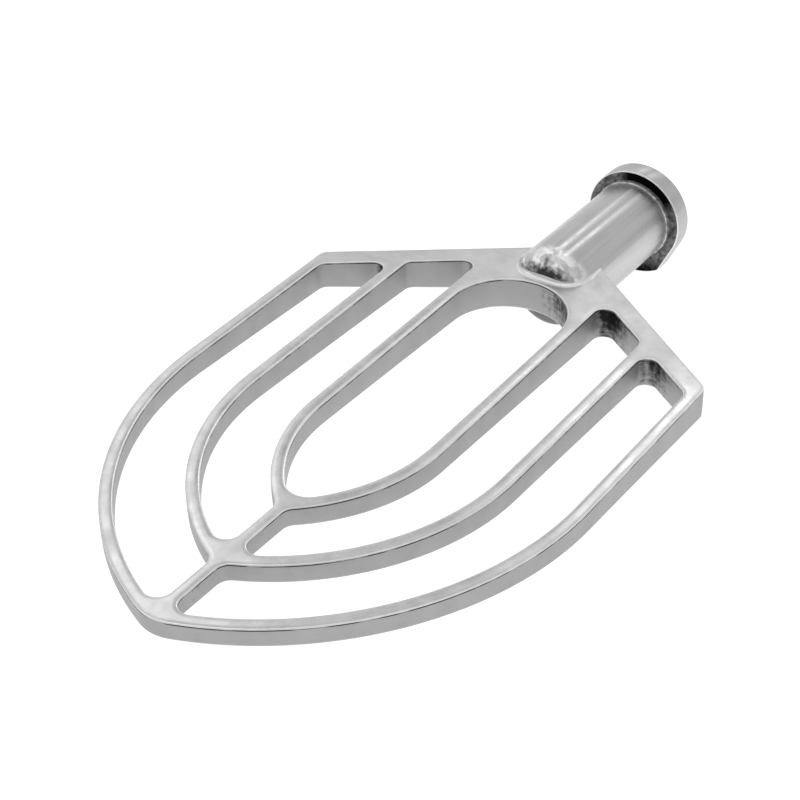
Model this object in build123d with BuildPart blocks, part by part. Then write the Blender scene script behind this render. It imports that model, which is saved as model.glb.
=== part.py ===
"""Flat beater for a bench planetary mixer.

The blade lies flat: +Z is square to the blade, +Y is the drive axis and points out of the shank's mouth,
and +X is across the blade. The origin is the centre of the shank's mouth. Millimetres.
"""

from build123d import *
from math import acos, cos, degrees, radians, sqrt, tan
import os

os.makedirs("parts", exist_ok=True)

# ---- driving dimensions --------------------------------------------------------------------------

# blade, seen from above
blade_half_width = 100.0
bar_width = 5.8
middle_loop_half_width = 66.9
inner_loop_half_width = 32.8
arc_start_y = -220.0  # below this the straight sides of all three loops curve in to their tips
outer_loop_radius = 145.4  # radii are those of each loop's outer edge
middle_loop_radius = 109.9
inner_loop_radius = 78.9
spine_width = 5.2

# shoulders and hub plate
shoulder_slope = 34.0  # degrees
shoulder_apex_y = -58.7  # where the two shoulder edges would meet on the drive axis
shoulder_bar_width = 10.0
arch_centre_y = -123.5

# corner radii in plan
tip_radius = 20.0
inner_tip_radius = 10.0
shoulder_corner_radius = 6.0
pocket_root_radius = 5.0
spine_root_radius = 6.0

# blade, seen from the side: half thickness grows from the tip to the hub along a long arc
tip_y = -358.0
tip_half_thickness = 4.3
side_arc_radius = 9712.0

# shank, collar and bush
shank_radius = 19.4
nose_y = -92.5
nose_round = 10.0
bush_seat_radius = 15.0
bush_seat_depth = 62.0
bush_bore_radius = 12.8
bush_length = 60.0
collar_radius = 24.5
collar_length = 10.0
lobe_radius = 29.0
lobe_half_angle = 31.0  # degrees either side of straight down
lobe_corner_radius = 3.0

# bayonet path of the mixer shaft's cross pin
slot_width = 9.0
slot_outer_radius = 22.5
slot_depth = 24.0
slot_turn = 60.0  # degrees

# bead round the nose
bead_width = 3.0
bead_height = 2.4

# how far the cuts between the blade's nodes stand off each loop, clear of the corner radii
joint_margin = 7.0

same_place = 0.01  # two coordinates closer than this are the same

# ---- worked out from the driving dimensions ------------------------------------------------------

slope = tan(radians(shoulder_slope))
pocket_apex_y = shoulder_apex_y - shoulder_bar_width / cos(radians(shoulder_slope))
arch_radius = inner_loop_half_width - bar_width
spine_half = spine_width / 2
reach = 2 * blade_half_width  # longer than anything it has to cut across
side_stations = (tip_y - reach, tip_y, shoulder_apex_y)  # where the long side arc is fixed


def half_thickness(y):
    """Half thickness of the blade at y."""
    return tip_half_thickness + (y - tip_y) ** 2 / (2 * side_arc_radius)


def edge_y(half_width, radius, x):
    """Height at which a loop edge's arc passes x."""
    return arc_start_y - sqrt(radius**2 - (x + radius - half_width) ** 2)


def pocket_top_y(x):
    """Lower edge of the shoulder bar at x."""
    return pocket_apex_y - slope * x


def loop_face(half_width, radius, top_y):
    """A closed loop-shaped face: flat top at top_y, straight sides, two arcs that meet at the tip."""
    tip = edge_y(half_width, radius, 0)
    sweep = degrees(acos((radius - half_width) / radius))
    with BuildSketch(mode=Mode.PRIVATE) as face:
        with BuildLine():
            Line((0, top_y), (half_width, top_y))
            Line((half_width, top_y), (half_width, arc_start_y))
            CenterArc((half_width - radius, arc_start_y), radius, 0, -sweep)
            Line((0, tip), (0, top_y))
        make_face()
        mirror(about=Plane.YZ)
    return face.sketch


def side_pocket(inner_half, inner_radius, outer_half, outer_radius):
    """The right-hand opening between two loops, from the spine to the shoulder bar."""
    spine_top = edge_y(inner_half, inner_radius, spine_half)
    spine_foot = edge_y(outer_half, outer_radius, spine_half)
    inner_start = degrees(acos((spine_half + inner_radius - inner_half) / inner_radius))
    outer_end = degrees(acos((spine_half + outer_radius - outer_half) / outer_radius))
    with BuildSketch(mode=Mode.PRIVATE) as pocket:
        with BuildLine():
            Line((spine_half, spine_foot), (spine_half, spine_top))
            CenterArc((inner_half - inner_radius, arc_start_y), inner_radius, -inner_start, inner_start)
            Line((inner_half, arc_start_y), (inner_half, pocket_top_y(inner_half)))
            Line((inner_half, pocket_top_y(inner_half)), (outer_half, pocket_top_y(outer_half)))
            Line((outer_half, pocket_top_y(outer_half)), (outer_half, arc_start_y))
            CenterArc((outer_half - outer_radius, arc_start_y), outer_radius, 0, -outer_end)
        make_face()
        root_corners = pocket.vertices().filter_by(lambda v: v.Y > arc_start_y + pocket_root_radius)
        fillet(root_corners, pocket_root_radius)
        spine_corners = pocket.vertices().filter_by(lambda v: abs(v.X - spine_half) < same_place)
        fillet(spine_corners, spine_root_radius)
    return pocket.sketch


def cutting_face(half_width, radius, offset):
    """The face inside a loop edge moved outward by offset and open at the top, for cutting out a node."""
    return loop_face(half_width + offset, radius + offset, reach)


# ---- the whole blade, which the nodes are cut from -----------------------------------------------

middle_pocket = side_pocket(
    inner_loop_half_width,
    inner_loop_radius,
    middle_loop_half_width - bar_width,
    middle_loop_radius - bar_width,
)
outer_pocket = side_pocket(
    middle_loop_half_width,
    middle_loop_radius,
    blade_half_width - bar_width,
    outer_loop_radius - bar_width,
)

with BuildSketch() as central_opening:
    add(loop_face(arch_radius, inner_loop_radius - bar_width, arch_centre_y))
    fillet(central_opening.vertices().sort_by(Axis.Y)[0], inner_tip_radius)
    with Locations((0, arch_centre_y)):
        Circle(arch_radius)

with BuildSketch() as blade_plan:
    shoulder_corner_y = shoulder_apex_y - slope * blade_half_width
    add(loop_face(blade_half_width, outer_loop_radius, shoulder_corner_y))
    with BuildLine():
        Polyline(
            (-blade_half_width, shoulder_corner_y),
            (0, shoulder_apex_y),
            (blade_half_width, shoulder_corner_y),
            close=True,
        )
    make_face()
    fillet(blade_plan.vertices().sort_by(Axis.Y)[0], tip_radius)
    shoulder_corners = blade_plan.vertices().filter_by(lambda v: abs(v.Y - shoulder_corner_y) < same_place)
    fillet(shoulder_corners, shoulder_corner_radius)
    add(central_opening.sketch, mode=Mode.SUBTRACT)
    add(middle_pocket, mode=Mode.SUBTRACT)
    add(mirror(middle_pocket, about=Plane.YZ, mode=Mode.PRIVATE), mode=Mode.SUBTRACT)
    add(outer_pocket, mode=Mode.SUBTRACT)
    add(mirror(outer_pocket, about=Plane.YZ, mode=Mode.PRIVATE), mode=Mode.SUBTRACT)

with BuildPart() as blade_casting:
    with BuildSketch():
        add(blade_plan.sketch)
    extrude(amount=reach, both=True)
    with BuildSketch(Plane.YZ):
        with BuildLine():
            top = ThreePointArc(*[(y, half_thickness(y)) for y in side_stations])
            bottom = ThreePointArc(*[(y, -half_thickness(y)) for y in side_stations])
            Line(top @ 0, bottom @ 0)
            Line(top @ 1, bottom @ 1)
        make_face()
    extrude(amount=reach, both=True, mode=Mode.INTERSECT)

# ---- turned shank, collar and bush ---------------------------------------------------------------


def nose_profile(grow):
    """Half section of the shank's outside, rounded at the nose and grown outward by grow."""
    with BuildSketch(mode=Mode.PRIVATE) as profile:
        with BuildLine():
            Polyline(
                (0, 0),
                (0, nose_y - grow),
                (shank_radius + grow, nose_y - grow),
                (shank_radius + grow, 0),
                close=True,
            )
        make_face()
        fillet(profile.vertices().group_by(Axis.Y)[0].sort_by(Axis.X)[-1], nose_round + grow)
    return profile.sketch


def bayonet_sector():
    """Face of the sideways leg of the pin's path, in the plane square to the drive axis."""
    with BuildSketch(mode=Mode.PRIVATE) as sector:
        with BuildLine():
            rim = CenterArc((0, 0), slot_outer_radius, -90 - slot_turn, slot_turn)
            Line((0, 0), rim @ 0)
            Line(rim @ 1, (0, 0))
        make_face()
    return sector.sketch


def bayonet_entry():
    """Face of the pin's way in, from inside the bore out to the lobe."""
    with BuildSketch(mode=Mode.PRIVATE) as entry:
        with Locations((0, -slot_outer_radius / 2)):
            Rectangle(slot_width, slot_outer_radius)
    return entry.sketch


with BuildPart() as shank_solid:
    with BuildSketch():
        add(nose_profile(0))
    revolve(axis=Axis.Y)

with BuildPart() as drive_shank:
    add(shank_solid.part)
    with BuildSketch(Plane.XZ):
        Circle(bush_seat_radius)
    extrude(amount=bush_seat_depth, mode=Mode.SUBTRACT)
    with BuildSketch(Plane.XZ):
        add(bayonet_entry())
    extrude(amount=slot_depth, mode=Mode.SUBTRACT)
    with BuildSketch(Plane.XZ.offset(slot_depth - slot_width)):
        add(bayonet_sector())
    extrude(amount=slot_width, mode=Mode.SUBTRACT)
drive_shank.part.label = "drive_shank"
export_step(drive_shank.part, "parts/drive_shank.step")

with BuildPart() as liner_bush:
    with BuildSketch(Plane.XZ):
        Circle(bush_seat_radius)
        Circle(bush_bore_radius, mode=Mode.SUBTRACT)
    extrude(amount=bush_length)
    with BuildSketch(Plane.XZ):
        add(bayonet_entry())
    extrude(amount=slot_depth, mode=Mode.SUBTRACT)
    with BuildSketch(Plane.XZ.offset(slot_depth - slot_width)):
        add(bayonet_sector())
    extrude(amount=slot_width, mode=Mode.SUBTRACT)
liner_bush.part.label = "liner_bush"
export_step(liner_bush.part, "parts/liner_bush.step")

with BuildPart() as shank_collar:
    with BuildSketch(Plane.XZ) as collar_face:
        with BuildLine():
            CenterArc((0, 0), collar_radius, 0, 360)
            CenterArc((0, 0), lobe_radius, -90 - lobe_half_angle, 2 * lobe_half_angle)
        make_hull()
        fillet(collar_face.vertices().group_by(Axis.Y)[0], lobe_corner_radius)
        Circle(shank_radius, mode=Mode.SUBTRACT)
        add(bayonet_entry(), mode=Mode.SUBTRACT)
    extrude(amount=collar_length)
shank_collar.part.label = "shank_collar"
export_step(shank_collar.part, "parts/shank_collar.step")

# ---- the blade's nodes ---------------------------------------------------------------------------

joint_y = pocket_apex_y - joint_margin / cos(radians(shoulder_slope))

with BuildSketch() as shoulder_region:
    with BuildLine():
        Polyline(
            (-reach, joint_y - slope * reach),
            (0, joint_y),
            (reach, joint_y - slope * reach),
            (reach, reach),
            (-reach, reach),
            close=True,
        )
    make_face()
    with Locations((0, arch_centre_y)):
        Rectangle(2 * (inner_loop_half_width + joint_margin), 2 * reach, align=(Align.CENTER, Align.MIN))

inner_band = cutting_face(inner_loop_half_width, inner_loop_radius, joint_margin)
middle_band = cutting_face(middle_loop_half_width, middle_loop_radius, joint_margin)
inside_middle = cutting_face(middle_loop_half_width, middle_loop_radius, -bar_width - joint_margin)
inside_outer = cutting_face(blade_half_width, outer_loop_radius, -bar_width - joint_margin)


with BuildPart() as shoulder_web:
    add(blade_casting.part)
    extrude(shoulder_region.sketch, amount=reach, both=True, mode=Mode.INTERSECT)
    add(shank_solid.part, mode=Mode.SUBTRACT)
shoulder_web.part.label = "shoulder_web"
export_step(shoulder_web.part, "parts/shoulder_web.step")

with BuildPart() as outer_loop:
    add(blade_casting.part)
    extrude(shoulder_region.sketch, amount=reach, both=True, mode=Mode.SUBTRACT)
    extrude(inside_outer, amount=reach, both=True, mode=Mode.SUBTRACT)
outer_loop.part.label = "outer_loop"
export_step(outer_loop.part, "parts/outer_loop.step")

with BuildPart() as middle_loop:
    add(blade_casting.part)
    extrude(middle_band, amount=reach, both=True, mode=Mode.INTERSECT)
    extrude(shoulder_region.sketch, amount=reach, both=True, mode=Mode.SUBTRACT)
    extrude(inside_middle, amount=reach, both=True, mode=Mode.SUBTRACT)
middle_loop.part.label = "middle_loop"
export_step(middle_loop.part, "parts/middle_loop.step")

with BuildPart() as inner_loop:
    add(blade_casting.part)
    extrude(inner_band, amount=reach, both=True, mode=Mode.INTERSECT)
    extrude(shoulder_region.sketch, amount=reach, both=True, mode=Mode.SUBTRACT)
inner_loop.part.label = "inner_loop"
export_step(inner_loop.part, "parts/inner_loop.step")

with BuildPart() as upper_spine:
    add(blade_casting.part)
    extrude(inside_middle, amount=reach, both=True, mode=Mode.INTERSECT)
    extrude(shoulder_region.sketch, amount=reach, both=True, mode=Mode.SUBTRACT)
    extrude(inner_band, amount=reach, both=True, mode=Mode.SUBTRACT)
upper_spine.part.label = "upper_spine"
export_step(upper_spine.part, "parts/upper_spine.step")

with BuildPart() as lower_spine:
    add(blade_casting.part)
    extrude(inside_outer, amount=reach, both=True, mode=Mode.INTERSECT)
    extrude(shoulder_region.sketch, amount=reach, both=True, mode=Mode.SUBTRACT)
    extrude(middle_band, amount=reach, both=True, mode=Mode.SUBTRACT)
lower_spine.part.label = "lower_spine"
export_step(lower_spine.part, "parts/lower_spine.step")

# the bead follows the shank's outside along both faces of the web
bead_top_y = shoulder_apex_y - slope * shank_radius - bead_width
with BuildPart() as nose_fillet:
    with BuildSketch():
        add(nose_profile(bead_width))
    revolve(axis=Axis.Y)
    with BuildSketch(Plane.XZ.offset(-bead_top_y)):
        Rectangle(reach, 2 * (half_thickness(bead_top_y) + bead_height))
    extrude(amount=reach, mode=Mode.INTERSECT)
    add(shank_solid.part, mode=Mode.SUBTRACT)
    add(blade_casting.part, mode=Mode.SUBTRACT)
    with BuildSketch():
        add(central_opening.sketch)
    extrude(amount=reach, both=True, mode=Mode.SUBTRACT)
nose_fillet.part.label = "nose_fillet"
export_step(nose_fillet.part, "parts/nose_fillet.step")
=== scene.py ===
"""Looks for the flat beater: one cast blade, its brushed shank, the turned collar and the steel bush.

Lengths are in millimetres until a mesh is made, and in metres inside materials. The frame is the CAD's: +Y is
the drive axis, and +Z is square to the blade. The blade's outline is built from straight runs and arcs, with
the material always on the left.
"""

import math

import bmesh
import bpy
import numpy as np
from mathutils import Matrix, Vector
from mathutils.geometry import delaunay_2d_cdt


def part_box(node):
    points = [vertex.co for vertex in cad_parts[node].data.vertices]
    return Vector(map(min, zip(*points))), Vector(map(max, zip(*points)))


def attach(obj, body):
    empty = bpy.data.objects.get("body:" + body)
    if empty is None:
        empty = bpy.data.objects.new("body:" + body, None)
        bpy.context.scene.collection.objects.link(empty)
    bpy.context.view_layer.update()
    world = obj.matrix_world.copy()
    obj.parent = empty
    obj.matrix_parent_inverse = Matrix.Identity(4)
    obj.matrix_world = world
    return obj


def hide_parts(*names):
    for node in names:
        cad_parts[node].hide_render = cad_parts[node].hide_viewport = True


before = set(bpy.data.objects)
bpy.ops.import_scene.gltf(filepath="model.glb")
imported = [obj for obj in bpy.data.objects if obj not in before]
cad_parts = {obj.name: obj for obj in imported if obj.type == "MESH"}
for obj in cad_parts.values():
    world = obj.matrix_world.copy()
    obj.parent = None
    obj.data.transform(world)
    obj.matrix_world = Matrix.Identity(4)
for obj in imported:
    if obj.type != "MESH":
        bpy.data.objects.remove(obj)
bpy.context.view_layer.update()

MM = 0.001

# ---- driving dimensions, as in the CAD -----------------------------------------------------------

blade_half_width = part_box("outer_loop")[1].x / MM
inner_loop_half_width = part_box("inner_loop")[1].x / MM
middle_loop_half_width = 66.9
bar_width = 5.8
arc_start_y = -220.0
outer_loop_radius = 145.4
middle_loop_radius = 109.9
inner_loop_radius = 78.9
spine_half = 2.6
shoulder_slope = math.radians(34.0)
shoulder_apex_y = -58.7
shoulder_bar_width = 10.0
arch_centre_y = -123.5
tip_radius = 20.0
inner_tip_radius = 10.0
shoulder_corner_radius = 6.0
pocket_root_radius = 5.0
spine_root_radius = 6.0
tip_y = -358.0
tip_half_thickness = 4.3
side_arc_radius = 9712.0

shank_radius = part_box("drive_shank")[1].x / MM
nose_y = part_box("drive_shank")[0].y / MM
nose_round = 10.0
collar_back_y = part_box("shank_collar")[0].y / MM

# finish of the casting's edges, measured in from the outline and down from the top
edge_round = 0.5  # radius of the rounded edges
crown_height = 0.12  # how far the faces rise towards the middle of a bar
crown_reach = 2.4  # where that rise ends
edge_inset = 0.03  # the walls' widest line, at mid-height, which keeps the mesh inside the CAD's box
wall_draft = 0.1  # the walls' inset where the rounding starts
seam_draft = 0.09  # and at the foot of the seam line
seam_height = 0.6
edge_steps = 5
crown_steps = 4
outline_step = 1.5
outline_turn_step = math.radians(10)
cap_spacing = 3.0
cap_margin = 0.6  # the least distance from an outline to a point inside it, as a share of cap_spacing
lower_shade_share = 0.5  # painted shade at the foot of a wall, as a share of the painted shade at its top

# the bead round the nose
fillet_radius = 2.4
fillet_end_radius = 0.6
fillet_steps = 8
fillet_bury = 0.25  # how far its edges go into the blade and the shank
fillet_tuck = 0.2  # how far those edges turn back, and its buried corner's reach, as shares of its radius
fillet_core = 1.5
nose_stations = 16
side_stations = 8

# the low step between shank and collar
step_height = 0.5
step_length = 2.6
step_bury = 0.3
step_round = 0.4
step_turns = 6
turned_sides = 160

# softened copies of CAD shapes
weld_distance = 1e-7  # in metres, like a CAD mesh
flat_angle = math.radians(0.3)  # facets this close to one plane are joined
sharp_angle = math.radians(40)  # edges sharper than this are rounded
softening_segments = 3
collar_back_normal = -0.9  # faces of the collar whose normal points further back than this are as cast


def half_thickness(y):
    """Half thickness of the blade at y."""
    return tip_half_thickness + (y - tip_y) ** 2 / (2 * side_arc_radius)


# ---- outlines made of straight runs and arcs -----------------------------------------------------


def left_of(direction):
    """The unit vector a quarter turn to the left."""
    return Vector((-direction.y, direction.x))


class Run:
    """A straight piece of an outline."""

    def __init__(self, point, direction):
        self.point = Vector(point)
        self.direction = Vector(direction).normalized()

    def moved_left(self, distance):
        """The run beside this one."""
        return Run(self.point + left_of(self.direction) * distance, self.direction)

    def nearest(self, point):
        """The place that is nearest to a point."""
        return self.point + self.direction * (point - self.point).dot(self.direction)

    def direction_at(self, point):
        """Which way the outline goes at a point on it."""
        return self.direction

    def samples(self, start, end):
        """Points from start up to but not including end, each with the way to the left."""
        count = max(1, math.ceil((end - start).length / outline_step))
        return [(start.lerp(end, i / count), left_of(self.direction)) for i in range(count)]


class Bend:
    """An arc of an outline. turn is 1 anticlockwise and -1 clockwise."""

    def __init__(self, centre, radius, turn):
        self.centre = Vector(centre)
        self.radius = radius
        self.turn = turn

    def moved_left(self, distance):
        """The arc beside this one, about the same centre."""
        return Bend(self.centre, self.radius - self.turn * distance, self.turn)

    def nearest(self, point):
        """The place that is nearest to a point."""
        return self.centre + (point - self.centre).normalized() * self.radius

    def direction_at(self, point):
        """Which way the outline goes at a point on it."""
        return left_of((point - self.centre).normalized()) * self.turn

    def samples(self, start, end):
        """Points from start up to but not including end, each with the way to the left."""
        first = math.atan2(*(start - self.centre).yx)
        last = math.atan2(*(end - self.centre).yx)
        sweep = (self.turn * (last - first)) % math.tau
        count = math.ceil(max(sweep * self.radius / outline_step, sweep / outline_turn_step))
        out = []
        for i in range(count):
            angle = first + self.turn * sweep * i / count
            outward = Vector((math.cos(angle), math.sin(angle)))
            out.append((self.centre + outward * self.radius, -outward * self.turn))
        return out


def crossing(first, second):
    """Where two pieces of outline cross. Where they cross twice, the lower place is the one that's used."""
    if isinstance(first, Bend) and isinstance(second, Bend):
        between = second.centre - first.centre
        gap = between.length
        along = (gap**2 + first.radius**2 - second.radius**2) / (2 * gap)
        aside = left_of(between.normalized()) * math.sqrt(first.radius**2 - along**2)
        middle = first.centre + between.normalized() * along
    elif isinstance(first, Bend):
        return crossing(second, first)
    elif isinstance(second, Bend):
        middle = first.nearest(second.centre)
        aside = first.direction * math.sqrt(second.radius**2 - (middle - second.centre).length_squared)
    else:
        across = left_of(second.direction)
        length = (second.point - first.point).dot(across) / first.direction.dot(across)
        return first.point + first.direction * length
    return min(middle + aside, middle - aside, key=lambda point: point.y)


def rounded_outline(pieces, radii):
    """Samples round a closed outline. radii[i] rounds the corner after pieces[i]; 0 means a tangent joint."""
    starts, ends, corners = [], [], []
    for piece, following, radius in zip(pieces, pieces[1:] + pieces[:1], radii):
        if radius:
            place = crossing(piece, following)
            ahead = piece.direction_at(place)
            turn = 1 if left_of(ahead).dot(following.direction_at(place)) > 0 else -1
            centre = crossing(piece.moved_left(turn * radius), following.moved_left(turn * radius))
            corners.append(Bend(centre, radius, turn))
            ends.append(piece.nearest(centre))
            starts.append(following.nearest(centre))
        else:
            straight, bend = (piece, following) if isinstance(piece, Run) else (following, piece)
            corners.append(None)
            ends.append(straight.nearest(bend.centre))
            starts.append(ends[-1])
    starts = starts[-1:] + starts[:-1]
    samples = []
    for i, piece in enumerate(pieces):
        samples += piece.samples(starts[i], ends[i])
        if corners[i]:
            samples += corners[i].samples(ends[i], starts[(i + 1) % len(pieces)])
    return samples


def mirrored(samples):
    """The same outline on the other side of the drive axis."""
    return [(Vector((-p.x, p.y)), Vector((-n.x, n.y))) for p, n in reversed(samples)]


def loop_bend(half_width, radius, turn, side=1):
    """The arc that one side of a loop curves in on."""
    return Bend((side * (half_width - radius), arc_start_y), radius, turn)


up, down = (0, 1), (0, -1)
shoulder_out = (math.cos(shoulder_slope), -math.sin(shoulder_slope))
shoulder_in = (-math.cos(shoulder_slope), math.sin(shoulder_slope))
pocket_apex_y = shoulder_apex_y - shoulder_bar_width / math.cos(shoulder_slope)


def side_pocket(inner_half, inner_radius, outer_half, outer_radius):
    """The right-hand opening between two loops."""
    pieces = [
        Run((inner_half, 0), up),
        Run((0, pocket_apex_y), shoulder_out),
        Run((outer_half, 0), down),
        loop_bend(outer_half, outer_radius, -1),
        Run((spine_half, 0), up),
        loop_bend(inner_half, inner_radius, 1),
    ]
    root, spine = pocket_root_radius, spine_root_radius
    return rounded_outline(pieces, [root, root, 0, spine, spine, 0])


def central_opening():
    """The long opening with a round arch under the hub."""
    half = inner_loop_half_width - bar_width
    radius = inner_loop_radius - bar_width
    pieces = [
        Run((-half, 0), up),
        Bend((0, arch_centre_y), half, -1),
        Run((half, 0), down),
        loop_bend(half, radius, -1),
        loop_bend(half, radius, -1, side=-1),
    ]
    return rounded_outline(pieces, [0, 0, 0, inner_tip_radius, 0])


def blade_edge():
    """The outside of the blade."""
    pieces = [
        loop_bend(blade_half_width, outer_loop_radius, 1),
        Run((blade_half_width, 0), up),
        Run((0, shoulder_apex_y), shoulder_in),
        Run((0, shoulder_apex_y), (-shoulder_out[0], shoulder_out[1])),
        Run((-blade_half_width, 0), down),
        loop_bend(blade_half_width, outer_loop_radius, 1, side=-1),
    ]
    corner = shoulder_corner_radius
    return rounded_outline(pieces, [0, corner, corner, corner, 0, tip_radius])


def blade_outlines():
    """The blade's edge and its five openings."""
    middle = side_pocket(
        inner_loop_half_width,
        inner_loop_radius,
        middle_loop_half_width - bar_width,
        middle_loop_radius - bar_width,
    )
    outer = side_pocket(
        middle_loop_half_width,
        middle_loop_radius,
        blade_half_width - bar_width,
        outer_loop_radius - bar_width,
    )
    return [blade_edge(), central_opening(), middle, mirrored(middle), outer, mirrored(outer)]


# ---- meshes --------------------------------------------------------------------------------------


def mesh_object(name, vertices, faces, materials, body="root"):
    """A smooth-shaded mesh in metres from millimetre vertices, riding on the CAD body."""
    mesh = bpy.data.meshes.new(name)
    mesh.from_pydata([Vector(v) * MM for v in vertices], [], faces)
    mesh.validate()
    for material in materials:
        mesh.materials.append(material)
    mesh.shade_smooth()
    piece = bpy.data.objects.new(name, mesh)
    bpy.context.scene.collection.objects.link(piece)
    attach(piece, body)
    return piece


def edge_section():
    """The casting's edge, from the foot of its seam line to the crown: (how far in, how far below it)."""
    section = [(seam_draft, crown_height + edge_round + seam_height)]
    for i in range(edge_steps + 1):
        angle = math.pi / 2 * i / edge_steps
        inward = wall_draft + edge_round * (1 - math.cos(angle))
        below = crown_height + edge_round * (1 - math.sin(angle))
        section.append((inward, below))
    for i in range(1, crown_steps + 1):
        share = i / crown_steps
        inward = wall_draft + edge_round + (crown_reach - wall_draft - edge_round) * share
        section.append((inward, crown_height * (1 - share) ** 2))
    return section


def inside(points, polygon):
    """Which points lie inside a polygon, by counting crossings to one side."""
    x, y = points[:, 0], points[:, 1]
    hit = np.zeros(len(points), bool)
    for (ax, ay), (bx, by) in zip(polygon, np.roll(polygon, -1, axis=0)):
        spans = (ay > y) != (by > y)
        if spans.any():
            reach = ax + (y - ay) * (bx - ax) / (by - ay if by != ay else 1)
            hit ^= spans & (x < reach)
    return hit


def cap_triangles(loops):
    """Triangles that fill the flat between the innermost rings, and the extra points that they use."""
    ring = np.array([tuple(p) for loop in loops for p in loop])
    xs = np.arange(-blade_half_width, blade_half_width, cap_spacing)
    ys = np.arange(tip_y, shoulder_apex_y, cap_spacing)
    grid = np.array([(x, y) for x in xs for y in ys])
    keep = np.zeros(len(grid), bool)
    for loop in loops:
        keep ^= inside(grid, np.array([tuple(p) for p in loop]))
    grid = grid[keep]
    far = [np.min(np.hypot(*(ring - g).T)) > cap_spacing * cap_margin for g in grid]
    grid = grid[np.array(far)]
    edges = []
    first = 0
    for loop in loops:
        count = len(loop)
        edges += [(first + i, first + (i + 1) % count) for i in range(count)]
        first += count
    points = [Vector(p) for p in np.vstack([ring, grid])]
    tolerance = 1e-6
    found = delaunay_2d_cdt(points, edges, [], 1, tolerance)
    triangles = [[min(found[3][v]) for v in face] for face in found[2]]
    centres = np.array([np.mean([tuple(points[v]) for v in t], axis=0) for t in triangles])
    keep = np.zeros(len(centres), bool)
    for loop in loops:
        keep ^= inside(centres, np.array([tuple(p) for p in loop]))
    return [t for t, k in zip(triangles, keep) if k], grid


def pocket_corner(half_width, side=1):
    """Where a loop's outside meets the underside of the shoulder bar."""
    return Vector((side * half_width, pocket_apex_y - math.tan(shoulder_slope) * half_width))


def painted_shade_patches():
    """Painted shade on the walls of each outline, in blade_outlines order: (place, how much, reach in X, in
    Y).
    """
    inner, middle = inner_loop_half_width, middle_loop_half_width
    arch = (Vector((19, -106)), 0.85, 22, 18)
    foot_middle = (Vector((7, -300)), 0.45, 7, 7)
    foot_outer = (Vector((7, -338)), 0.6, 7, 7)
    return [
        [],
        [arch],
        [(pocket_corner(inner), 1.4, 24, 10), foot_middle],
        [(pocket_corner(inner, -1), 0.9, 7, 7)],
        [(pocket_corner(middle), 1.0, 24, 9), foot_outer],
        [(pocket_corner(middle, -1), 1.2, 8, 8)],
    ]


def painted_shade_at(place, patches):
    """How much painted shade there is at a place on a wall. A patch leans the way that the shoulder bar
    slopes.
    """
    most = 0.0
    for middle, amount, reach_x, reach_y in patches:
        aside = math.copysign(1, middle.x) * (place.x - middle.x)
        along = place.y - middle.y + aside * math.tan(shoulder_slope)
        most = max(most, amount * (1 - math.hypot(aside / reach_x, along / reach_y)))
    return most


def blade_mesh(materials):
    """The whole casting of the blade as one closed mesh: its faces, rounded edges, seam lines and walls."""
    face_slot, edge_slot, seam_slot, wall_slot = range(4)
    outlines = blade_outlines()
    section = edge_section()
    last = len(section) - 1
    upper_seam_row, lower_seam_row = last - 1, last + 2
    # the rounded edges take the lighter copy of the faces' metal, a painted highlight
    slots = {row: edge_slot for row in range(crown_steps, last)}
    slots[upper_seam_row] = seam_slot
    slots[last] = wall_slot
    slots |= {2 * last + 1 - row: slot for row, slot in slots.items()}
    # only the upper edges have a seam line
    slots[lower_seam_row] = wall_slot
    middle_shade = (1 + lower_shade_share) / 2
    vertices, faces, face_slots, painted_wall_shade = [], [], [], []
    caps = {1: [], -1: []}
    for samples, patches in zip(outlines, painted_shade_patches()):
        count = len(samples)
        rings = []
        rows = [(1, inward, below) for inward, below in reversed(section)]
        rows.append((0, edge_inset, 0))
        rows += [(-1, inward, below) for inward, below in section]
        for face, inward, below in rows:
            rings.append(len(vertices))
            for place, left in samples:
                p = place + left * inward
                vertices.append((p.x, p.y, face * (half_thickness(p.y) - below)))
                # painted shade on the walls, in the corners and under the arch, weaker at the foot of a wall
                painted_wall_shade.append(painted_shade_at(place, patches) * (middle_shade + (1 - middle_shade) * face))
        for row, (a, b) in enumerate(zip(rings, rings[1:])):
            for i in range(count):
                j = (i + 1) % count
                faces.append((a + i, b + i, b + j, a + j))
                face_slots.append(slots.get(row, face_slot))
        for face, start in ((1, rings[0]), (-1, rings[-1])):
            caps[face].append(range(start, start + count))
    loops = [[p + n * crown_reach for p, n in samples] for samples in outlines]
    triangles, extra = cap_triangles(loops)
    for face, cap in caps.items():
        index = [i for loop in cap for i in loop]
        index += range(len(vertices), len(vertices) + len(extra))
        vertices += [(x, y, face * half_thickness(y)) for x, y in extra]
        painted_wall_shade += [0.0] * len(extra)
        for a, b, c in triangles:
            faces.append((index[a], index[b], index[c])[::face])
            face_slots.append(face_slot)
    piece = mesh_object("blade_casting", vertices, faces, materials)
    piece.data.polygons.foreach_set("material_index", face_slots)
    piece.data.attributes.new("painted_wall_shade", "FLOAT", "POINT").data.foreach_set("value", painted_wall_shade)
    return piece


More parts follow.
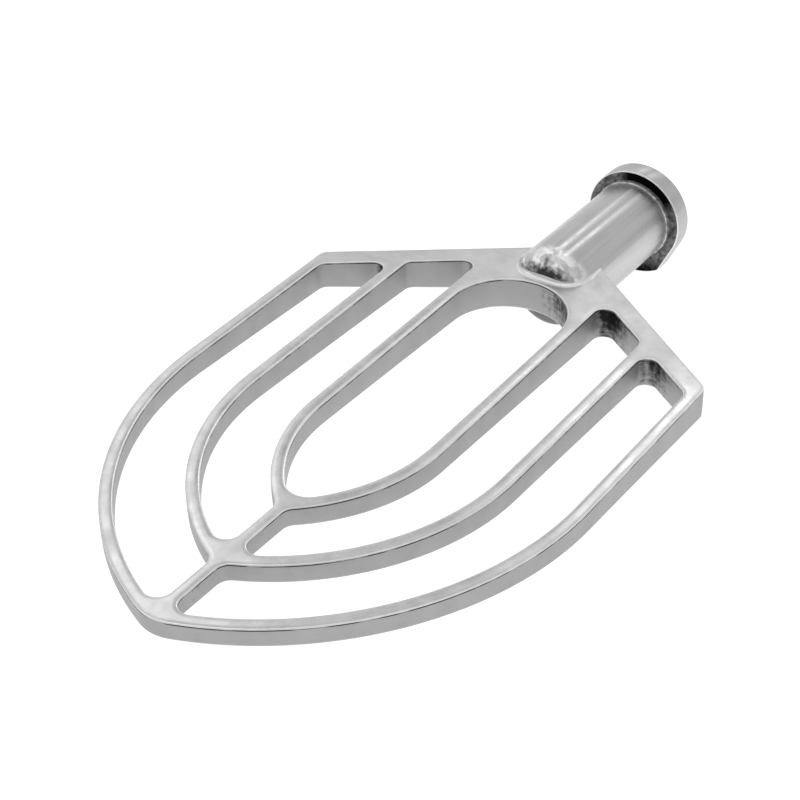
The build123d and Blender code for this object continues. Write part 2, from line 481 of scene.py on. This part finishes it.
def nose_centre_line(face):
    """Stations of a ball that rolls round the nose, left to right, touching the shank and the blade's face.

    Each station is (the ball's centre, its radius, the way from the shank to the ball). The ball shrinks
    along the shank's sides, so that the fillet fades out there.
    """
    hub = shank_radius - nose_round
    round_y = nose_y + nose_round
    end_y = shoulder_apex_y - math.tan(shoulder_slope) * (shank_radius - 1)
    radius = fillet_radius
    height = half_thickness(nose_y) + radius
    widest = math.sqrt((shank_radius + radius) ** 2 - height**2)
    half = []
    for i in range(nose_stations + 1):
        x = widest * math.sin(math.pi / 2 * i / nose_stations)
        rho = math.hypot(x, height)
        y = round_y - math.sqrt(max(0.0, (nose_round + radius) ** 2 - (rho - hub) ** 2))
        aside = Vector((x, 0, height)) / rho * (rho - hub)
        half.append((Vector((x, y, height)), radius, (aside + Vector((0, y - round_y, 0))).normalized()))
    for i in range(1, side_stations + 1):
        y = round_y + (end_y - round_y) * i / side_stations
        radius = fillet_radius + (fillet_end_radius - fillet_radius) * i / side_stations
        height = half_thickness(y) + radius
        x = math.sqrt((shank_radius + radius) ** 2 - height**2)
        half.append((Vector((x, y, height)), radius, Vector((x, 0, height)).normalized()))
    left = Vector((-1, 1, 1))
    line = [(centre * left, radius, outward * left) for centre, radius, outward in reversed(half[1:])]
    line += half
    up_or_down = Vector((1, 1, face))
    return [(centre * up_or_down, radius, outward * up_or_down) for centre, radius, outward in line]


def nose_fillets(material):
    """The cast fillet that runs from each face of the blade up the nose, its back buried in both."""
    vertices, faces = [], []
    for face in (1, -1):
        line = nose_centre_line(face)
        first = len(vertices)
        for centre, radius, outward in line:
            low = Vector((0, 0, -face))
            high = -outward
            vertices.append(centre + low * (radius + fillet_bury) - high * radius * fillet_tuck)
            for i in range(fillet_steps + 1):
                vertices.append(centre + low.slerp(high, i / fillet_steps) * radius)
            vertices.append(centre + high * (radius + fillet_bury) + low * radius * fillet_tuck)
            vertices.append(centre + (low + high) * (radius * fillet_core))
        row = fillet_steps + 4
        for s in range(len(line) - 1):
            for i in range(row):
                j = (i + 1) % row
                a, b = first + s * row, first + (s + 1) * row
                faces.append((a + i, b + i, b + j, a + j)[::face])
        faces.append(tuple(range(first, first + row))[::face])
        last = first + (len(line) - 1) * row
        faces.append(tuple(range(last, last + row))[::-face])
    piece = mesh_object("nose_fillets", vertices, faces, [material])
    piece.data.set_sharp_from_angle(angle=math.radians(50))
    return piece


def turned_ring(name, profile, material):
    """A closed ring turned about the drive axis from (radius, y) points."""
    vertices, faces = [], []
    for i in range(turned_sides):
        angle = math.tau * i / turned_sides
        vertices += [(r * math.sin(angle), y, r * math.cos(angle)) for r, y in profile]
    count = len(profile)
    for i in range(turned_sides):
        a, b = i * count, (i + 1) % turned_sides * count
        for k in range(count):
            m = (k + 1) % count
            faces.append((a + k, b + k, b + m, a + m))
    return mesh_object(name, vertices, faces, [material])


def step_ring(material):
    """The low step where the shank runs into the collar's back."""
    low, high = shank_radius - step_bury, shank_radius + step_height
    back = collar_back_y + step_bury
    front = collar_back_y - step_length
    crest = []
    for turn in np.linspace(0, math.pi / 2, step_turns):
        inward = step_round * (1 - math.sin(turn))
        crest.append((high - inward, front + step_round * (1 - math.cos(turn))))
    profile = [(low, back), (low, front), *crest, (high, back)]
    return turned_ring("step_ring", profile, material)


def softened_copy(node, name, width, materials):
    """A copy of a CAD node's shape that stands for it, its sharp edges rounded by width mm.

    The rounded edges take the last of the materials.
    """
    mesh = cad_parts[node].data.copy()
    mesh.name = name
    mesh.materials.clear()
    shape = bmesh.new()
    shape.from_mesh(mesh)
    bmesh.ops.remove_doubles(shape, verts=shape.verts, dist=weld_distance)
    bmesh.ops.dissolve_limit(shape, angle_limit=flat_angle, verts=shape.verts, edges=shape.edges)
    shape.to_mesh(mesh)
    shape.free()
    for material in materials:
        mesh.materials.append(material)
    piece = bpy.data.objects.new(name, mesh)
    bpy.context.scene.collection.objects.link(piece)
    bevel = piece.modifiers.new("edges", "BEVEL")
    bevel.width = width * MM
    bevel.segments = softening_segments
    bevel.limit_method = "ANGLE"
    bevel.angle_limit = sharp_angle
    bevel.harden_normals = True
    bevel.material = len(materials) - 1
    mesh.shade_smooth()
    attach(piece, "root")
    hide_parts(node)
    return piece


# ---- materials -----------------------------------------------------------------------------------

# the middle of the painted shade on the collar's back and on the step
shade_angle = math.radians(20)
shade_direction = Vector((math.sin(shade_angle), 0, math.cos(shade_angle)))
nose_stain = Vector((1, -91.7, 11.0)) * MM, Vector((13, 5, 5)) * MM
nose_speckle = Vector((0, -89.5, 15)) * MM, Vector((1.8, 4, 5)) * MM


def metal(name, colour, roughness, metallic=1.0):
    """A new metal and its node tree, ready for detail."""
    material = bpy.data.materials.new(name)
    material.use_nodes = True
    shader = material.node_tree.nodes["Principled BSDF"]
    shader.inputs["Base Color"].default_value = (*colour, 1)
    shader.inputs["Roughness"].default_value = roughness
    shader.inputs["Metallic"].default_value = metallic
    return material, material.node_tree, shader


def noise(tree, scale, stretch=(1, 1, 1), detail=4.0, distortion=0.0):
    """Noise over the object, in metres, stretched along the axes."""
    place = tree.nodes.new("ShaderNodeTexCoord")
    mapping = tree.nodes.new("ShaderNodeMapping")
    mapping.inputs["Scale"].default_value = stretch
    texture = tree.nodes.new("ShaderNodeTexNoise")
    texture.inputs["Scale"].default_value = scale
    texture.inputs["Detail"].default_value = detail
    texture.inputs["Distortion"].default_value = distortion
    tree.links.new(place.outputs["Object"], mapping.inputs["Vector"])
    tree.links.new(mapping.outputs["Vector"], texture.inputs["Vector"])
    return texture.outputs["Fac"]


def ramp(tree, value, low, high, out_low, out_high):
    """value carried from low..high to out_low..out_high."""
    node = tree.nodes.new("ShaderNodeMapRange")
    node.inputs["From Min"].default_value = low
    node.inputs["From Max"].default_value = high
    node.inputs["To Min"].default_value = out_low
    node.inputs["To Max"].default_value = out_high
    tree.links.new(value, node.inputs["Value"])
    return node.outputs["Result"]


def spread(tree, value, out_low, out_high):
    """Noise carried to out_low..out_high. Most of it lies between 0.3 and 0.7."""
    return ramp(tree, value, 0.3, 0.7, out_low, out_high)


def tone(tree, value, dark, light):
    """A neutral colour between two greys."""
    mix = tree.nodes.new("ShaderNodeMix")
    mix.data_type = "RGBA"
    mix.inputs["A"].default_value = (dark, dark, dark * 1.01, 1)
    mix.inputs["B"].default_value = (light, light, light * 1.01, 1)
    tree.links.new(value, mix.inputs["Factor"])
    return mix.outputs["Result"]


def vector_step(tree, operation, value, other=None):
    """One step of vector arithmetic."""
    node = tree.nodes.new("ShaderNodeVectorMath")
    node.operation = operation
    tree.links.new(value, node.inputs[0])
    if other is not None:
        node.inputs[1].default_value = other
    return node


def number_step(tree, operation, first, second):
    """One step of arithmetic on two values of the shader tree."""
    node = tree.nodes.new("ShaderNodeMath")
    node.operation = operation
    tree.links.new(first, node.inputs[0])
    tree.links.new(second, node.inputs[1])
    return node.outputs["Value"]


def place_on_object(tree):
    """Where the surface is, in the object's own metres."""
    return tree.nodes.new("ShaderNodeTexCoord").outputs["Object"]


def smooth(value):
    """Makes a ramp ease in and out."""
    value.node.interpolation_type = "SMOOTHSTEP"
    return value


def darkened(tree, colour, amount, dark=0.012):
    """A colour taken towards near-black by an amount from 0 to 1."""
    mix = tree.nodes.new("ShaderNodeMix")
    mix.data_type = "RGBA"
    mix.inputs["B"].default_value = (dark, dark, dark, 1)
    tree.links.new(amount, mix.inputs["Factor"])
    tree.links.new(colour, mix.inputs["A"])
    return mix.outputs["Result"]


def bump(tree, shader, *layers):
    """Fine relief from pairs of (value, depth in mm)."""
    normal = None
    for value, depth in layers:
        node = tree.nodes.new("ShaderNodeBump")
        node.inputs["Distance"].default_value = depth * MM
        node.inputs["Strength"].default_value = 1.0
        tree.links.new(value, node.inputs["Height"])
        if normal:
            tree.links.new(normal, node.inputs["Normal"])
        normal = node.outputs["Normal"]
    tree.links.new(normal, shader.inputs["Normal"])


def coordinate(tree, axis):
    """How far along X, Y or Z the surface is, in metres."""
    separate = tree.nodes.new("ShaderNodeSeparateXYZ")
    tree.links.new(place_on_object(tree), separate.inputs["Vector"])
    return separate.outputs[axis]


def polished_casting(name, dark, light):
    """Faces of the blade: hand-polished, with soft waves and a cloudy sheen, and duller on the hub."""
    material, tree, shader = metal(name, (light, light, light), 0.3)
    clouds = noise(tree, 70, detail=3)
    blotches = noise(tree, 90, detail=2)
    patches = noise(tree, 300, detail=3)
    waves = noise(tree, 45, detail=1)
    mixed = number_step(tree, "ADD", spread(tree, patches, 0, 0.45), spread(tree, blotches, 0, 0.55))
    tree.links.new(tone(tree, mixed, dark, light), shader.inputs["Base Color"])
    sheen = spread(tree, clouds, 0.2, 0.3)
    dull = smooth(ramp(tree, coordinate(tree, "Y"), -0.15, -0.11, 0, 0.14))
    tree.links.new(number_step(tree, "ADD", sheen, dull), shader.inputs["Roughness"])
    bump(tree, shader, (waves, 0.25))
    return material


def matt_wall():
    """Walls of the bars: even and matt, with painted shade and fine scratches in the corners under the
    shoulders.
    """
    material, tree, shader = metal("matt_wall", (0.5, 0.5, 0.5), 0.55, 0.85)
    clouds = noise(tree, 80, detail=4)
    grain = noise(tree, 2500, detail=2)
    runs = noise(tree, 420, stretch=(1, 1, 0.12), detail=3)
    scratches = noise(tree, 1300, stretch=(0.06, 0.06, 1), detail=2)
    mottle = noise(tree, 500, detail=3)
    shade_attribute = tree.nodes.new("ShaderNodeAttribute")
    shade_attribute.attribute_name = "painted_wall_shade"
    uneven = shade_attribute.outputs["Fac"]
    for layer, depth in ((runs, 0.13), (scratches, 0.13), (mottle, 0.15)):
        uneven = number_step(tree, "ADD", uneven, spread(tree, layer, -depth, depth))
    amount = smooth(ramp(tree, uneven, 0.1, 0.8, 0, 1))
    present = smooth(ramp(tree, shade_attribute.outputs["Fac"], 0, 0.25, 0, 1))
    unshaded_wall = tone(tree, ramp(tree, clouds, 0.35, 0.65, 0, 1), 0.385, 0.42)
    # the wall is taken towards near-black where the painted shade lies
    shaded_wall = darkened(tree, unshaded_wall, number_step(tree, "MULTIPLY", amount, present))
    tree.links.new(shaded_wall, shader.inputs["Base Color"])
    tree.links.new(spread(tree, grain, 0.48, 0.6), shader.inputs["Roughness"])
    bump(tree, shader, (grain, 0.01))
    return material


def seam_line():
    """A thin dark line just under each upper edge, broken here and there."""
    material, tree, shader = metal("seam_line", (0.2, 0.2, 0.2), 0.6, 0.8)
    broken = noise(tree, 90, detail=2)
    shade = tone(tree, smooth(ramp(tree, broken, 0.44, 0.62, 0, 1)), 0.05, 0.36)
    tree.links.new(shade, shader.inputs["Base Color"])
    return material


def patch_strength(tree, patch):
    """1 in the middle of a patch, given as (middle, reach), 0 near its reach and less than 0 beyond."""
    middle, reach = patch
    towards = vector_step(tree, "SUBTRACT", place_on_object(tree), middle).outputs["Vector"]
    scaled = vector_step(tree, "DIVIDE", towards, reach).outputs["Vector"]
    away = vector_step(tree, "LENGTH", scaled).outputs["Value"]
    return ramp(tree, away, 0.3, 1.5, 1.0, -0.5)


def turned(tree, shader, strength):
    """Stretches the lights on something that was turned about the drive axis."""
    shader.inputs["Anisotropic"].default_value = strength
    shader.inputs["Anisotropic Rotation"].default_value = 0.25
    around = tree.nodes.new("ShaderNodeTangent")
    around.direction_type = "RADIAL"
    around.axis = "Y"
    tree.links.new(around.outputs["Tangent"], shader.inputs["Tangent"])


def brushed_shank():
    """The shank: lights stretch along it, and its dented nose has a painted highlight above, a stain in front
    and painted shade below.
    """
    material, tree, shader = metal("brushed_shank", (0.6, 0.6, 0.6), 0.3)
    turned(tree, shader, 0.8)
    bands = noise(tree, 150, stretch=(1, 0.06, 1), detail=3)
    clouds = noise(tree, 110, detail=3)
    mottle = noise(tree, 450, detail=4)
    dents = noise(tree, 200, detail=2)
    scratches = noise(tree, 800, stretch=(1, 0.02, 1), detail=2)
    along = number_step(tree, "ADD", spread(tree, bands, 0, 0.2), spread(tree, scratches, 0, 0.12))
    mixed = number_step(tree, "ADD", along, spread(tree, clouds, 0, 0.1))
    on_nose = smooth(ramp(tree, coordinate(tree, "Y"), -0.086, -0.079, 1, 0))
    height = coordinate(tree, "Z")
    above = number_step(tree, "MULTIPLY", on_nose, smooth(ramp(tree, height, 0.006, 0.012, 0, 1)))
    # painted shade: the underside of the nose is taken towards black
    below = number_step(tree, "MULTIPLY", on_nose, smooth(ramp(tree, height, -0.004, -0.009, 0, 0.7)))
    # painted highlight: lighter patches on the top of the nose
    painted_nose_highlight = number_step(tree, "MULTIPLY", above, smooth(ramp(tree, dents, 0.38, 0.55, 0, 0.9)))
    mixed = number_step(tree, "ADD", mixed, painted_nose_highlight)
    # the painted shade below, then the stain and speckle on the nose
    darkening = below
    for patch, most in ((nose_stain, 0.95), (nose_speckle, 0.75)):
        uneven = ramp(tree, mottle, 0.35, 0.65, -0.25, 0.25)
        edge = number_step(tree, "ADD", patch_strength(tree, patch), uneven)
        darkening = number_step(tree, "MAXIMUM", darkening, smooth(ramp(tree, edge, 0, 1, 0, most)))
    tree.links.new(darkened(tree, tone(tree, mixed, 0.43, 0.85), darkening), shader.inputs["Base Color"])
    tree.links.new(spread(tree, clouds, 0.24, 0.34), shader.inputs["Roughness"])
    bump(tree, shader, (number_step(tree, "MULTIPLY", dents, on_nose), 0.7))
    return material


def rough_cast(name, dark, light, shade_start, shade_end):
    """As cast and pitted, round the drive axis, with near-black painted shade above, and taken to near-black
    at the lobe's foot.

    The painted shade above grows where the cosine of the angle from its middle goes from the given start to
    the given end.
    """
    material, tree, shader = metal(name, (0.2, 0.2, 0.2), 0.6)
    speckle = noise(tree, 420, detail=5)
    pits = noise(tree, 900, detail=3)
    outward = vector_step(tree, "MULTIPLY", place_on_object(tree), (1, 0, 1)).outputs["Vector"]
    unit = vector_step(tree, "NORMALIZE", outward).outputs["Vector"]
    towards_stain = vector_step(tree, "DOT_PRODUCT", unit, shade_direction).outputs["Value"]
    below = vector_step(tree, "DOT_PRODUCT", place_on_object(tree), (0, 0, -1)).outputs["Value"]
    # near-black at the lobe's foot, and painted shade round the top
    foot = ramp(tree, below, 0.014, 0.027, -0.3, 1.0)
    upper = ramp(tree, towards_stain, shade_start, shade_end, -0.3, 1.3)
    reach = number_step(tree, "MAXIMUM", upper, foot)
    edge = number_step(tree, "ADD", reach, spread(tree, speckle, -0.3, 0.3))
    darkening = smooth(ramp(tree, edge, 0, 1, 0, 1))
    colour = tone(tree, ramp(tree, speckle, 0.35, 0.65, 0, 1), dark, light)
    tree.links.new(darkened(tree, colour, darkening, 0.004), shader.inputs["Base Color"])
    tree.links.new(spread(tree, pits, 0.45, 0.75), shader.inputs["Roughness"])
    bump(tree, shader, (pits, 0.08))
    return material


def turned_rim():
    """The collar's rim and mouth: fine turned lines round the drive axis."""
    material, tree, shader = metal("turned_rim", (0.6, 0.6, 0.6), 0.35)
    turned(tree, shader, 0.6)
    lines = noise(tree, 900, stretch=(0.05, 1, 0.05), detail=3)
    clouds = noise(tree, 160, stretch=(1, 0.3, 1), detail=4)
    tree.links.new(tone(tree, spread(tree, clouds, 0, 1), 0.44, 0.54), shader.inputs["Base Color"])
    tree.links.new(spread(tree, clouds, 0.3, 0.42), shader.inputs["Roughness"])
    bump(tree, shader, (lines, 0.01))
    return material


def turned_steel():
    """The bush: turned steel."""
    material, tree, shader = metal("turned_steel", (0.5, 0.5, 0.5), 0.3)
    lines = noise(tree, 2000, stretch=(0.03, 1, 0.03), detail=3)
    tree.links.new(tone(tree, lines, 0.36, 0.5), shader.inputs["Base Color"])
    tree.links.new(spread(tree, lines, 0.22, 0.38), shader.inputs["Roughness"])
    bump(tree, shader, (lines, 0.01))
    return material


def floor_white():
    """The plain pale floor, which glows like a light table, so that the beater casts next to no shadow."""
    material, _, shader = metal("floor_white", (0.3, 0.3, 0.3), 0.9, 0.0)
    shader.inputs["Specular IOR Level"].default_value = 0.0
    shader.inputs["Emission Color"].default_value = (1, 1, 1, 1)
    shader.inputs["Emission Strength"].default_value = 0.91
    # rays find so large a floor by themselves, and sampling it as a lamp only adds grain
    material.cycles.emission_sampling = "NONE"
    return material


# ---- the studio ----------------------------------------------------------------------------------

camera_azimuth = math.radians(36.715)
camera_elevation = math.radians(35.643)
camera_roll = math.radians(-1.899)
camera_distance = 747.2
camera_aim = Vector((-6.0, -195.3, 0.2))
camera_lens = 80.46
lobe_rest_y = -5
shank_middle = (0, -45, shank_radius)
bright_side = Vector((0.1, 0.75, 0.65)).normalized()
dim_sky, bright_sky = 0.42, 0.8

# the camera's and the beater's places above are in millimetres, and these are in metres
camera_far = 20
floor_reach = 4.0
light_distance = 6.0
lamp_size = (0.6, 0.6)


def make_camera():
    """The camera at the photograph's viewing angle."""
    a, e = camera_azimuth, camera_elevation
    back = Vector((math.sin(a) * math.cos(e), -math.cos(a) * math.cos(e), math.sin(e)))
    level = Vector((math.cos(a), math.sin(a), 0))
    rise = back.cross(level)
    right = level * math.cos(camera_roll) + rise * math.sin(camera_roll)
    top = rise * math.cos(camera_roll) - level * math.sin(camera_roll)
    data = bpy.data.cameras.new("camera")
    data.lens = camera_lens
    data.clip_end = camera_far
    camera = bpy.data.objects.new("camera", data)
    turn = Matrix((right, top, back)).transposed().to_4x4()
    camera.matrix_world = Matrix.Translation((camera_aim + back * camera_distance) * MM) @ turn
    bpy.context.scene.collection.objects.link(camera)
    bpy.context.scene.camera = camera


def make_floor():
    """A floor under the collar's lobe and the blade's tip, the two places the beater rests on."""
    lobe = Vector((0, lobe_rest_y * MM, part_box("shank_collar")[0].z))
    tip = Vector((0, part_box("outer_loop")[0].y, -tip_half_thickness * MM))
    along = (lobe - tip).normalized()
    r = floor_reach
    corners = [lobe + Vector((x, 0, 0)) + along * y for x, y in ((-r, -r), (r, -r), (r, r), (-r, r))]
    mesh = bpy.data.meshes.new("floor")
    mesh.from_pydata(corners, [], [(0, 1, 2, 3)])
    mesh.materials.append(floor_white())
    floor = bpy.data.objects.new("floor", mesh)
    bpy.context.scene.collection.objects.link(floor)


def lamp(name, direction, radiance):
    """A square light, light_distance from the top of the shank and facing it."""
    data = bpy.data.lights.new(name, "AREA")
    data.shape = "RECTANGLE"
    data.size, data.size_y = lamp_size
    data.energy = radiance * math.pi * lamp_size[0] * lamp_size[1]
    light = bpy.data.objects.new(name, data)
    direction = Vector(direction).normalized()
    light.location = Vector(shank_middle) * MM + direction * light_distance
    light.rotation_euler = direction.to_track_quat("Z", "Y").to_euler()
    bpy.context.scene.collection.objects.link(light)


def glow(tree, direction, towards, inner, outer, strength):
    """Extra sky round a direction: full strength within inner degrees of it, and none past outer degrees."""
    nearness = vector_step(tree, "DOT_PRODUCT", direction, Vector(towards).normalized()).outputs["Value"]
    edges = math.cos(math.radians(outer)), math.cos(math.radians(inner))
    return smooth(ramp(tree, nearness, *edges, 0, strength))


def make_light():
    """A pale sky, brighter above and behind, with soft glows, and two lamps for the shank's streaks."""
    world = bpy.data.worlds.new("studio")
    world.use_nodes = True
    bpy.context.scene.world = world
    tree = world.node_tree
    background = tree.nodes["Background"]
    background.inputs["Color"].default_value = (1, 1, 1, 1)
    direction = tree.nodes.new("ShaderNodeTexCoord").outputs["Generated"]
    behind = vector_step(tree, "DOT_PRODUCT", direction, bright_side).outputs["Value"]
    strength = smooth(ramp(tree, behind, -0.4, 0.7, dim_sky, bright_sky))
    # where to, degrees of full strength, degrees to nothing, and the strength, which is negative for a shade
    glows = (
        ((-0.58, 0.47, 0.665), 3, 8, 1.2),
        ((-0.66, 0.55, 0.51), 4, 14, 0.25),
        ((-0.35, 0.71, 0.61), 2, 7, 0.48),
        ((-0.465, 0.61, 0.64), 2, 7, -0.6),
        ((-0.36, 0.66, 0.66), 3, 9, 0.42),
        ((-0.36, -0.1, 0.93), 5, 13, 1.2),
        ((-0.72, -0.45, 0.53), 8, 24, 0.7),
        ((0.05, -0.48, 0.88), 8, 24, 0.7),
        ((0.72, -0.28, 0.63), 8, 24, 0.4),
    )
    for shape in glows:
        strength = number_step(tree, "ADD", strength, glow(tree, direction, *shape))
    tree.links.new(strength, background.inputs["Strength"])
    lamp("lamp_left", (-0.33, 0.73, 0.60), 4.5)
    lamp("lamp_right", (-0.03, 0.758, 0.652), 5.5)
    view = bpy.context.scene.view_settings
    view.view_transform = "Standard"


make_camera()
make_floor()
make_light()

casting = polished_casting("polished_casting", dark=0.48, light=0.6)
# the rounded edges, the nose's bead and the collar's edges take a lighter copy of the faces' metal: a painted
# highlight
painted_highlight_edge = polished_casting("painted_highlight_edge", dark=0.68, light=0.82)
blade = blade_mesh([casting, painted_highlight_edge, seam_line(), matt_wall()])
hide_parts("shoulder_web", "outer_loop", "middle_loop", "inner_loop", "upper_spine", "lower_spine")
fillets = nose_fillets(painted_highlight_edge)
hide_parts("nose_fillet")
softened_copy("drive_shank", "shank_body", 0.4, [brushed_shank()])
# the step and the collar's back carry near-black painted shade above, and near-black at the lobe's foot
step_ring(rough_cast("rough_step", dark=0.35, light=0.75, shade_start=0.93, shade_end=1.15))
rough_back = rough_cast("rough_back", dark=0.07, light=0.27, shade_start=0.67, shade_end=0.92)
collar_metals = [turned_rim(), rough_back, painted_highlight_edge]
collar = softened_copy("shank_collar", "collar_ring", 0.5, collar_metals)
for polygon in collar.data.polygons:
    polygon.material_index = int(polygon.normal.y < collar_back_normal)
softened_copy("liner_bush", "bush_sleeve", 0.3, [turned_steel()])
